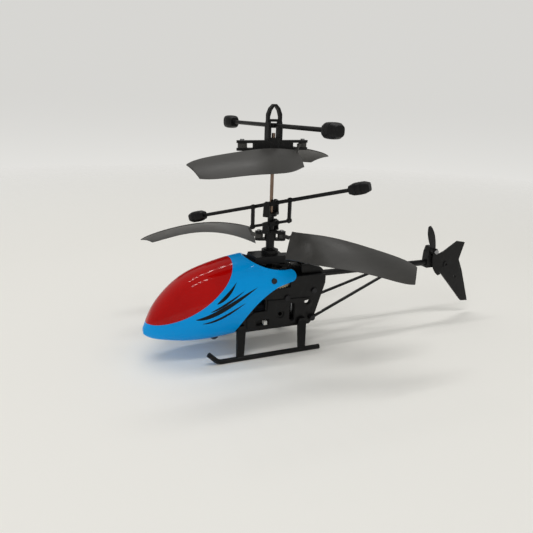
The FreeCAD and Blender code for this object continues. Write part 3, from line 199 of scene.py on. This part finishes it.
BLACK = (srgb(6, 6, 7), srgb(12, 12, 13))
MATERIALS = {
    "canopy_blue": painted("canopy_blue", srgb(0, 161, 240), srgb(0, 150, 232), 0.3, 0.14, 0.06),
    "windscreen_red": painted("windscreen_red", srgb(190, 6, 4), srgb(146, 1, 2), 0.08, 0.32, 0.06),
    "black_plastic": moulded("black_plastic", *BLACK),
    "blade_plastic": blade_plastic(),
    "carbon_tube": moulded("carbon_tube", srgb(14, 14, 15), srgb(22, 22, 24), (0.25, 0.4), 1800, 0.1, 0.3),
    "carbon_rod": moulded("carbon_rod", srgb(14, 14, 15), srgb(26, 26, 28), (0.28, 0.45), 1800, 0.1, 0.3),
    "screw_steel": metal("screw_steel", srgb(60, 60, 62), srgb(34, 34, 36), (0.25, 0.45), (1, 1, 1)),
    "shaft_steel": metal("shaft_steel", srgb(176, 176, 178), srgb(130, 130, 134)),
    "motor_steel": metal("motor_steel", srgb(168, 170, 174), srgb(120, 122, 126)),
    "pinion_brass": metal("pinion_brass", srgb(206, 172, 96), srgb(150, 118, 60)),
    "shaft_copper": metal("shaft_copper", srgb(150, 128, 112), srgb(112, 90, 76)),
    "tube_metal": moulded("tube_metal", srgb(13, 13, 14), srgb(22, 22, 23), (0.3, 0.42), 1800, 0.1, 0.3),
    "gear_nylon": moulded("gear_nylon", srgb(206, 186, 150), srgb(222, 206, 172),
                          (0.4, 0.55), 900, 0.1, 0.1),
    "battery_wrap": moulded("battery_wrap", srgb(70, 74, 84), srgb(88, 92, 102),
                            (0.25, 0.4), 300, 0.3, 0.2),
    "board_green": moulded("board_green", srgb(10, 58, 30), srgb(16, 78, 42), (0.3, 0.45), 500, 0.15, 0.2),
    "sensor_dark": painted("sensor_dark", srgb(26, 10, 16), srgb(16, 6, 10), 0.05, 1.0, 0.5),
    "knob_white": moulded("knob_white", srgb(196, 196, 192), srgb(212, 212, 208),
                          (0.35, 0.5), 1200, 0.1, 0.1),
    "decal_black": painted("decal_black", srgb(6, 8, 12), srgb(12, 14, 18), 0.3, 0.15),
}


def shade(thing, angle=32):
    """Smooth shading with sharp edges wherever two faces turn by more than an angle."""
    mesh = thing.data
    net = bmesh.new()
    net.from_mesh(mesh)
    limit = math.radians(angle)
    sharp = [len(e.link_faces) == 2 and e.calc_face_angle(0) > limit for e in net.edges]
    net.free()
    mesh.shade_smooth()
    attribute = mesh.attributes.get("sharp_edge") or mesh.attributes.new("sharp_edge", "BOOLEAN", "EDGE")
    attribute.data.foreach_set("value", sharp)


def dress_cad():
    """Give each CAD node the material of its slot and smooth shading."""
    slots = {part["node"]: part["material_slot"] for part in frame["record"]["subparts"]}
    for name, thing in frame["nodes"].items():
        thing.data.materials.clear()
        thing.data.materials.append(MATERIALS[slots[name]])
        shade(thing)


def dress(thing, slot, body, node=None):
    """Give a new piece its finish, let it ride on a body and stand in for a node if one is named."""
    thing.data.materials.clear()
    thing.data.materials.append(MATERIALS[slot])
    shade(thing, 30)
    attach(thing, body)
    if node:
        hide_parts(node)


# ---------------------------------------------------------------- meshes
def finish_mesh(name, net):
    bmesh.ops.recalc_face_normals(net, faces=net.faces)
    mesh = bpy.data.meshes.new(name)
    net.to_mesh(mesh)
    net.free()
    thing = bpy.data.objects.new(name, mesh)
    scene.collection.objects.link(thing)
    return thing


def apply_modifiers(thing):
    graph = bpy.context.evaluated_depsgraph_get()
    mesh = bpy.data.meshes.new_from_object(thing.evaluated_get(graph))
    thing.modifiers.clear()
    thing.data = mesh


def boolean(thing, other, operation):
    modifier = thing.modifiers.new("cut", "BOOLEAN")
    modifier.operation = operation
    modifier.solver = "EXACT"
    modifier.object = other
    apply_modifiers(thing)


def rounded(thing, width, segments):
    modifier = thing.modifiers.new("round", "BEVEL")
    modifier.width = width * MM
    modifier.segments = segments
    modifier.limit_method = "ANGLE"
    modifier.angle_limit = math.radians(35)
    apply_modifiers(thing)


def copy_of(thing, name):
    twin = bpy.data.objects.new(name, thing.data.copy())
    scene.collection.objects.link(twin)
    return twin


def drop(*things):
    for thing in things:
        bpy.data.objects.remove(thing, do_unlink=True)


def squared_circle(count, exponent):
    """Points of a unit super-ellipse; an exponent of 1 is a circle and a smaller one is squarer."""
    points = []
    for j in range(count):
        angle = 2 * math.pi * j / count
        c, s = math.cos(angle), math.sin(angle)
        points.append((math.copysign(abs(c) ** exponent, c), math.copysign(abs(s) ** exponent, s)))
    return points


def skin(net, rings):
    """Faces between neighbouring closed rings, and a cap on each end."""
    count = len(rings[0])
    for a, b in zip(rings, rings[1:]):
        for j in range(count):
            k = (j + 1) % count
            net.faces.new((a[j], a[k], b[k], b[j]))
    net.faces.new(rings[0][::-1])
    net.faces.new(rings[-1])


FAR_SIDE = 40


def prism(name, outline, near=-FAR_SIDE, far=FAR_SIDE):
    """A closed side-view outline extruded between two distances from the middle plane."""
    net = bmesh.new()
    left = [net.verts.new(at(x, far, z)) for x, z in outline]
    right = [net.verts.new(at(x, near, z)) for x, z in outline]
    net.faces.new(left)
    net.faces.new(right[::-1])
    for i in range(len(outline)):
        k = (i + 1) % len(outline)
        net.faces.new((left[i], right[i], right[k], left[k]))
    return finish_mesh(name, net)


# ---------------------------------------------------------------- canopy
# distance behind the nose, then half width, top and bottom as parts of the full section
STATIONS = (
    (0.0, 0.09, 0.185, 0.132), (0.9, 0.20, 0.245, 0.108), (3.5, 0.40, 0.385, 0.075),
    (10.5, 0.68, 0.610, 0.035), (20.5, 0.87, 0.800, 0.0), (30.5, 0.95, 0.895, 0.0),
    (40.5, 0.985, 0.960, 0.02), (52.5, 1.0, 1.0, 0.04), (71.0, 0.975, 1.0, 0.06),
)
NOSE, HALF, TOP, BOTTOM, WALL, POWER = 60.5, 14.8, 46.6, 7.6, 0.9, 2.25
ROUND, ALONG = 144, 110


def curve_through(knots, values):
    """A natural cubic spline through knots, as a function."""
    count = len(knots)
    gap = [knots[i + 1] - knots[i] for i in range(count - 1)]
    slope = [(values[i + 1] - values[i]) / gap[i] for i in range(count - 1)]
    upper, right = [0.0] * count, [0.0] * count
    for i in range(1, count - 1):
        pivot = 2 * (gap[i - 1] + gap[i]) - gap[i - 1] * upper[i - 1]
        upper[i] = gap[i] / pivot
        right[i] = (6 * (slope[i] - slope[i - 1]) - gap[i - 1] * right[i - 1]) / pivot
    bend = [0.0] * count
    for i in range(count - 2, 0, -1):
        bend[i] = right[i] - upper[i] * bend[i + 1]

    def value(x):
        i = max(0, min(count - 2, sum(x >= k for k in knots) - 1))
        a, b = knots[i + 1] - x, x - knots[i]
        cubic = (bend[i] * a ** 3 + bend[i + 1] * b ** 3) / (6 * gap[i])
        from_left = (values[i] / gap[i] - bend[i] * gap[i] / 6) * a
        return cubic + from_left + (values[i + 1] / gap[i] - bend[i + 1] * gap[i] / 6) * b

    return value


ROOTS = [math.sqrt(s[0]) for s in STATIONS]
WIDE, HIGH, LOW = (curve_through(ROOTS, [s[i] for s in STATIONS]) for i in (1, 2, 3))


def canopy_solid(name, inset, first):
    """The closed loft of super-elliptical sections, drawn in by an inset."""
    net = bmesh.new()
    rings = []
    for i in range(ALONG + 1):
        u = ROOTS[first] + (ROOTS[-1] - ROOTS[first]) * i / ALONG
        half = HALF * WIDE(u) - inset
        high = BOTTOM + (TOP - BOTTOM) * HIGH(u) - inset
        low = BOTTOM + (TOP - BOTTOM) * LOW(u) + inset
        middle, rise = (high + low) / 2, (high - low) / 2
        rings.append([net.verts.new(at(NOSE - u * u, half * across, middle + rise * upward))
                      for across, upward in squared_circle(ROUND, 2 / POWER)])
    skin(net, rings)
    return finish_mesh(name, net)


def arc(a, b, c, steps=40):
    """Points on the circle through three points, from a to c; c itself is left out."""
    (ax, ay), (bx, by), (cx, cy) = a, b, c
    d = 2 * (ax * (by - cy) + bx * (cy - ay) + cx * (ay - by))
    aa, bb, cc = ax * ax + ay * ay, bx * bx + by * by, cx * cx + cy * cy
    ux = (aa * (by - cy) + bb * (cy - ay) + cc * (ay - by)) / d
    uy = (aa * (cx - bx) + bb * (ax - cx) + cc * (bx - ax)) / d
    radius = math.hypot(ax - ux, ay - uy)
    start, middle, end = (math.atan2(y - uy, x - ux) for x, y in (a, b, c))
    sweep = (end - start) % (2 * math.pi)
    if (middle - start) % (2 * math.pi) > sweep:
        sweep -= 2 * math.pi
    turns = [start + sweep * i / steps for i in range(steps)]
    return [(ux + radius * math.cos(turn), uy + radius * math.sin(turn)) for turn in turns]


def shifted(points, distance):
    """A polyline moved sideways, to its left for a positive distance."""
    moved = []
    for i, (x, z) in enumerate(points):
        before, after = points[max(i - 1, 0)], points[min(i + 1, len(points) - 1)]
        dx, dz = after[0] - before[0], after[1] - before[1]
        size = math.hypot(dx, dz)
        moved.append((x - dz / size * distance, z + dx / size * distance))
    return moved


SCREW_X, SCREW_Z, TAIL_X, TAIL_Z, SILL_X, SILL_Z = 3.1, 36.2, -8.3, 37.8, 20.0, 13.2
ABOVE, AHEAD = TOP + 20, NOSE + 10
CANOPY_SIDE = (
    arc((SILL_X, SILL_Z), (SILL_X - 6.4, SILL_Z + 10.6), (SCREW_X - 2.2, SCREW_Z - 2.9))
    + [(SCREW_X - 2.2, SCREW_Z - 2.9)]
    + arc((TAIL_X + 2.4, TAIL_Z - 2.7), (TAIL_X, TAIL_Z), (TAIL_X + 1.7, TAIL_Z + 2.4), 16)
    + arc((TAIL_X + 1.7, TAIL_Z + 2.4), (SCREW_X + 2.4, SCREW_Z + 5.4), (SCREW_X + 12.3, TOP + 0.2))
    + [(SCREW_X + 12.3, TOP + 0.2), (SCREW_X + 12.3, ABOVE), (AHEAD, ABOVE), (AHEAD, -5), (SILL_X, -5)]
)
SCREEN_X, SCREEN_Z, SCREEN_REAR = 58.4, 18.6, 19.7
SCREEN_EDGE = (
    arc((SCREEN_X, SCREEN_Z), ((SCREEN_X + SCREEN_REAR) / 2 + 3.4, SCREEN_Z + 4.6),
        (SCREEN_REAR + 8.6, SCREEN_Z + 14.5), 60)
    + arc((SCREEN_REAR + 8.6, SCREEN_Z + 14.5), (SCREEN_REAR + 2.6, TOP - 6), (SCREEN_REAR, TOP + 0.4), 40)
    + [(SCREEN_REAR, TOP + 0.4)]
)


def screen_outline(gap):
    edge = shifted(SCREEN_EDGE, gap)
    foot = SCREEN_Z - 1
    return edge + [(edge[-1][0], ABOVE), (AHEAD, ABOVE), (AHEAD, foot), (edge[0][0] + 2, foot)]


SCREEN_PROUD, SCREEN_GAP, SCREW_HOLE = 0.12, 0.10, 0.9


def make_canopy():
    """A thin shell trimmed from the side; the windscreen is a second shell let into it."""
    outer = canopy_solid("outer", 0.0, 0)
    inner = canopy_solid("inner", WALL, 1)
    proud = canopy_solid("proud", -SCREEN_PROUD, 0)
    side = prism("side", CANOPY_SIDE)
    cut = prism("screen_cut", screen_outline(-SCREEN_GAP))
    keep = prism("screen_keep", screen_outline(SCREEN_GAP))
    canopy = copy_of(outer, "canopy_shell")
    screen = copy_of(proud, "windscreen_shell")
    net = bmesh.new()
    along_screw = Matrix.Translation(at(SCREW_X, 0, SCREW_Z)) @ Matrix.Rotation(math.pi / 2, 4, "X")
    bmesh.ops.create_cone(net, cap_ends=True, segments=48, radius1=SCREW_HOLE * MM,
                          radius2=SCREW_HOLE * MM, depth=60 * MM, matrix=along_screw)
    hole = finish_mesh("hole", net)
    for thing, other, operation in (
            (canopy, inner, "DIFFERENCE"), (canopy, side, "INTERSECT"), (canopy, cut, "DIFFERENCE"),
            (canopy, hole, "DIFFERENCE"),
            (screen, inner, "DIFFERENCE"), (screen, side, "INTERSECT"), (screen, keep, "INTERSECT")):
        boolean(thing, other, operation)
    drop(outer, inner, proud, side, cut, keep, hole)
    dress(canopy, "canopy_blue", "fuselage", "canopy")
    dress(screen, "windscreen_red", "fuselage", "windscreen")
    return canopy


def bezier(points, t):
    p = [Vector((x, 0, z)) for x, z in points]
    while len(p) > 1:
        p = [a.lerp(b, t) for a, b in zip(p, p[1:])]
    return p[0]


# centre line control points (x, z) and widest half-width of each stripe of the side decal
STRIPES = (
    (((39.5, 21.6), (31.5, 21.4), (22.0, 28.6), (10.8, 34.4)), 1.15),
    (((36.5, 19.4), (30.0, 19.2), (22.5, 24.4), (16.8, 27.6)), 0.6),
    (((33.0, 24.6), (27.5, 26.4), (22.5, 29.8), (17.0, 33.4)), 0.55),
    (((30.0, 28.2), (26.8, 29.8), (23.6, 33.0), (20.6, 37.2)), 0.85),
)
DECAL_LIFT = 0.05 * MM
STRIPE_STEPS, STRIPE_LANES = 60, 6


def stripe_half(t, half):
    """Half the width of a stripe: fullest near its front, and nearly nothing at both ends."""
    if not 0 < t < 0.98:
        return 0.02
    return half * math.sin(math.pi * min(1.0, t * 1.02)) ** 0.7 * (1.15 - 0.5 * t)


def make_decals(canopy):
    """Tapered stripes laid on both sides of the canopy."""
    tree = BVHTree.FromObject(canopy, bpy.context.evaluated_depsgraph_get())
    for side, label in ((1, "left"), (-1, "right")):
        net = bmesh.new()
        for points, half in STRIPES:
            rows = []
            for i in range(STRIPE_STEPS + 1):
                t = i / STRIPE_STEPS
                here = bezier(points, t)
                ahead = bezier(points, min(t + 0.01, 1.0)) - bezier(points, max(t - 0.01, 0.0))
                normal = Vector((-ahead.z, 0, ahead.x)).normalized()
                wide = stripe_half(t, half)
                row = []
                for j in range(STRIPE_LANES + 1):
                    spot = here + normal * wide * (2 * j / STRIPE_LANES - 1)
                    start = at(spot.x, side * FAR_SIDE, spot.z)
                    hit, facing, _, _ = tree.ray_cast(start, Vector((0, -side, 0)))
                    if hit is None:
                        row = None
                        break
                    row.append(net.verts.new(hit + facing * DECAL_LIFT))
                if row:
                    rows.append(row)
            for a, b in zip(rows, rows[1:]):
                for j in range(STRIPE_LANES):
                    net.faces.new((a[j], a[j + 1], b[j + 1], b[j]))
        decal = finish_mesh("side_stripes_" + label, net)
        decal.data.materials.append(MATERIALS["decal_black"])
        decal.data.shade_smooth()
        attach(decal, "fuselage")


# ---------------------------------------------------------------- chassis covers and trims
RING_POINTS = 40


def ring_outline(x, z, radius, stretch=0.0):
    """A circle, or with a stretch an upright slot, as a side-view outline."""
    points = []
    for j in range(RING_POINTS):
        angle = 2 * math.pi * (j + 0.5) / RING_POINTS
        rise = radius * math.sin(angle) + math.copysign(stretch, math.sin(angle))
        points.append((x + radius * math.cos(angle), z + rise))
    return points


def box_outline(x, z, half_long, half_high):
    return [(x + a * half_long, z + b * half_high) for a, b in ((-1, -1), (1, -1), (1, 1), (-1, 1))]


PLATE, PANEL_THICK = 9.0, 0.45
PANEL = ((-16.9, 15.2), (-10.6, 15.2), (-10.6, 12.2), (14.2, 12.2), (14.2, 17.6), (10.6, 20.0),
         (4.2, 20.0), (4.2, 25.2), (-18.2, 24.4), (-19.6, 22.0))
COVER = ((-14.0, 35.5), (-13.6, 40.4), (-17.4, 40.6), (-24.8, 38.0), (-26.2, 36.6), (-26.2, 35.5))
COVER_HALF = 6.8
VENT, PORT, PEEP = (-8.6, 18.0, 1.45, 3.3), (-2.6, 17.6, 2.0), (-16.6, 22.5, 1.6)
SWITCH = (6.5, 14.4, 3.3, 1.4)


def make_trims():
    """The battery box's raised panels, each opened over the holes behind it, and the rear deck's cover."""
    for side, label in ((1, "left"), (-1, "right")):
        near, far = sorted((side * PLATE, side * (PLATE + PANEL_THICK)))
        panel = prism("box_panel_" + label, PANEL, near, far)
        openings = [ring_outline(*VENT), ring_outline(*PEEP)]
        if side > 0:
            openings += [ring_outline(*PORT), box_outline(*SWITCH)]
        for opening in openings:
            cutter = prism("cutter", opening)
            boolean(panel, cutter, "DIFFERENCE")
            drop(cutter)
        rounded(panel, 0.16, 2)
        dress(panel, "black_plastic", "fuselage")
    cover = prism("deck_cover", COVER, -COVER_HALF, COVER_HALF)
    rounded(cover, 0.9, 4)
    dress(cover, "black_plastic", "fuselage")


# ---------------------------------------------------------------- flybars
CAD_WEIGHT, WEIGHT_LONG, WEIGHT_ROUND, WEIGHT_SQUARE = 8.0, 9.0, 48, 0.62
# place along a weight from 0 to 1, and the part of its full size there
WEIGHT_PROFILE = (
    (0.0, 0.50), (0.0, 0.66), (0.03, 0.71), (0.24, 0.96), (0.34, 0.99), (0.36, 0.92), (0.38, 0.995),
    (0.5, 1.0),
    (0.62, 0.995), (0.64, 0.92), (0.66, 0.99), (0.76, 0.96), (0.97, 0.71), (1.0, 0.66), (1.0, 0.50),
)


def add_weight(net, centre, axis, half_wide, half_high):
    """A barrel-shaped weight with two moulding grooves, its length along the bar."""
    side = Vector((-axis.y, axis.x, 0)).normalized()
    up = axis.cross(side)
    rings = []
    for part, size in WEIGHT_PROFILE:
        middle = centre + axis * ((part - 0.5) * WEIGHT_LONG * MM)
        wide, high = side * (half_wide * size * MM), up * (half_high * size * MM)
        rings.append([net.verts.new(middle + wide * x + high * y)
                      for x, y in squared_circle(WEIGHT_ROUND, WEIGHT_SQUARE)])
    skin(net, rings)


def add_rod(net, start, end, radius):
    """A round rod between two points."""
    way = end - start
    turn = way.to_track_quat("Z", "Y").to_matrix().to_4x4()
    bmesh.ops.create_cone(net, cap_ends=True, segments=32, radius1=radius * MM, radius2=radius * MM,
                          depth=way.length, matrix=Matrix.Translation((start + end) / 2) @ turn)


def make_flybar(node, body, pivot_z, reach, azimuth, tilt, rod_start, rod, half_wide, half_high):
    """The CAD bar's own middle with a barrel-shaped weight in place of each plain block."""
    turn, rise = math.radians(azimuth), math.radians(tilt)
    level = math.cos(rise)
    axis = Vector((level * math.cos(turn), level * math.sin(turn), math.sin(rise)))
    pivot = at(0, 0, pivot_z)
    net = bmesh.new()
    net.from_mesh(frame["nodes"][node].data)
    limit = (reach - CAD_WEIGHT / 2) * MM - 1e-5
    beyond = [v for v in net.verts if abs((v.co - pivot).dot(axis)) > limit]
    bmesh.ops.delete(net, geom=beyond, context="VERTS")
    bmesh.ops.remove_doubles(net, verts=net.verts, dist=1e-7)
    for side in (1, -1):
        out = axis * side * MM
        add_rod(net, pivot + out * rod_start, pivot + out * (reach - CAD_WEIGHT / 2), rod)
        add_weight(net, pivot + out * reach, axis, half_wide, half_high)
    dress(finish_mesh(node + "_dressed", net), "black_plastic", body, node)


# ---------------------------------------------------------------- stage, light and camera
FLOOR_FADE = (0.25, 0.8)
FLOOR_RADIUS = 3.0


def make_floor_material():
    """A matt pale floor that fades out far away, so that no edge of it shows against the backdrop."""
    n = Nodes("floor")
    cloud = n.noise(3.0, 2)
    tone = n.mix(n.spread(cloud, 0.0, 0.4), srgb(247, 246, 242), srgb(244, 243, 239))
    n.link(tone, n.shader.inputs["Base Color"])
    n.link(n.spread(cloud, 0.62, 0.72), n.shader.inputs["Roughness"])
    n.set(Specular_IOR_Level=0.15)
    length = n.node("ShaderNodeVectorMath", operation="LENGTH")
    n.link(n.coordinates, length.inputs[0])
    clear = n.node("ShaderNodeBsdfTransparent")
    blend = n.node("ShaderNodeMixShader")
    n.link(n.spread(length.outputs["Value"], 0.0, 1.0, *FLOOR_FADE), blend.inputs["Fac"])
    n.link(n.shader.outputs[0], blend.inputs[1])
    n.link(clear.outputs[0], blend.inputs[2])
    n.link(blend.outputs[0], n.tree.nodes["Material Output"].inputs["Surface"])
    return n.material


WORLD_LIGHT = 0.44
# what the camera sees of the backdrop: the sine of its elevation, and its strength there
BACKDROP = {"From Min": -0.22, "From Max": 0.02, "To Min": 0.83, "To Max": 0.68}


def make_stage():
    net = bmesh.new()
    bmesh.ops.create_circle(net, cap_ends=True, segments=96, radius=FLOOR_RADIUS)
    floor = finish_mesh("floor", net)
    floor.data.materials.append(make_floor_material())
    world = bpy.data.worlds.new("studio")
    scene.world = world
    world.use_nodes = True
    tree = world.node_tree
    background = tree.nodes["Background"]
    path = tree.nodes.new("ShaderNodeLightPath")
    look = tree.nodes.new("ShaderNodeTexCoord")
    rise = tree.nodes.new("ShaderNodeSeparateXYZ")
    seen = tree.nodes.new("ShaderNodeMapRange")
    seen.interpolation_type = "SMOOTHSTEP"
    for socket, value in BACKDROP.items():
        seen.inputs[socket].default_value = value
    tree.links.new(look.outputs["Generated"], rise.inputs[0])
    tree.links.new(rise.outputs["Z"], seen.inputs["Value"])
    strength = tree.nodes.new("ShaderNodeMapRange")
    strength.inputs["To Min"].default_value = WORLD_LIGHT
    tree.links.new(seen.outputs["Result"], strength.inputs["To Max"])
    tree.links.new(path.outputs["Is Camera Ray"], strength.inputs["Value"])
    tree.links.new(strength.outputs["Result"], background.inputs["Strength"])
    background.inputs["Color"].default_value = (1.0, 0.99, 0.955, 1.0)


def area_light(name, place, target, size, power, colour):
    data = bpy.data.lights.new(name, "AREA")
    data.shape = "RECTANGLE"
    data.size, data.size_y = size
    data.energy = power
    data.color = colour
    lamp = bpy.data.objects.new(name, data)
    lamp.location = place
    lamp.rotation_euler = (Vector(target) - Vector(place)).to_track_quat("-Z", "Y").to_euler()
    scene.collection.objects.link(lamp)
    return lamp


STRIP_HEIGHT, STRIP_PITCH, STRIP_LAMPS = 0.95, 0.085, 11
STRIP_MIDDLE, STRIP_ROWS = 0.10, (("near", 0.26), ("far", -0.30))
PANEL_SIZE, PANEL_POWER = (0.042, 0.075), 0.20


def make_lights():
    """Two rows of small ceiling panels, which the canopy reflects as dotted lines, and a soft fill."""
    for label, y in STRIP_ROWS:
        for i in range(STRIP_LAMPS):
            x = STRIP_MIDDLE + (i - (STRIP_LAMPS - 1) / 2) * STRIP_PITCH
            area_light("%s_panel_%d" % (label, i), (x, y, STRIP_HEIGHT), (x, y, 0),
                       PANEL_SIZE, PANEL_POWER, (1.0, 0.99, 0.97))
    fill = area_light("fill", (0.9, 1.1, 0.9), (0, 0, 0.05), (0.9, 0.9), 3.0, (1.0, 0.995, 0.98))
    fill.visible_glossy = False


FOCAL_PIXELS, FRAME_PIXELS = 509.37, 533
AZIMUTH, PITCH, ROLL = math.radians(157.46), math.radians(17.4), math.radians(1.75)
CAMERA_PLACE = (90.27, 214.08, 111.53)


def make_camera():
    data = bpy.data.cameras.new("camera")
    data.sensor_width = 36
    data.lens = 36 * FOCAL_PIXELS / FRAME_PIXELS
    data.clip_start = 0.01
    data.clip_end = 30
    level_back = math.cos(PITCH)
    back = Vector((math.sin(AZIMUTH) * level_back, -math.cos(AZIMUTH) * level_back, math.sin(PITCH)))
    level = Vector((math.cos(AZIMUTH), math.sin(AZIMUTH), 0))
    over = back.cross(level)
    right = math.cos(ROLL) * level + math.sin(ROLL) * over
    up = -math.sin(ROLL) * level + math.cos(ROLL) * over
    camera = bpy.data.objects.new("camera", data)
    pose = Matrix((right, up, back)).transposed().to_4x4()
    pose.translation = at(*CAMERA_PLACE)
    camera.matrix_world = pose
    scene.collection.objects.link(camera)
    scene.camera = camera


dress_cad()
shell = make_canopy()
make_decals(shell)
make_trims()
make_flybar("upper_flybar", "upper_stabiliser", pivot_z=103.8, reach=43.2, azimuth=97.5, tilt=0.0,
            rod_start=1.0, rod=0.95, half_wide=3.2, half_high=3.1)
make_flybar("lower_flybar", "lower_stabiliser", pivot_z=69.1, reach=42.8, azimuth=129.8, tilt=15.0,
            rod_start=2.9, rod=0.85, half_wide=2.8, half_high=2.7)
make_stage()
make_lights()
make_camera()
scene.view_settings.view_transform = "Standard"
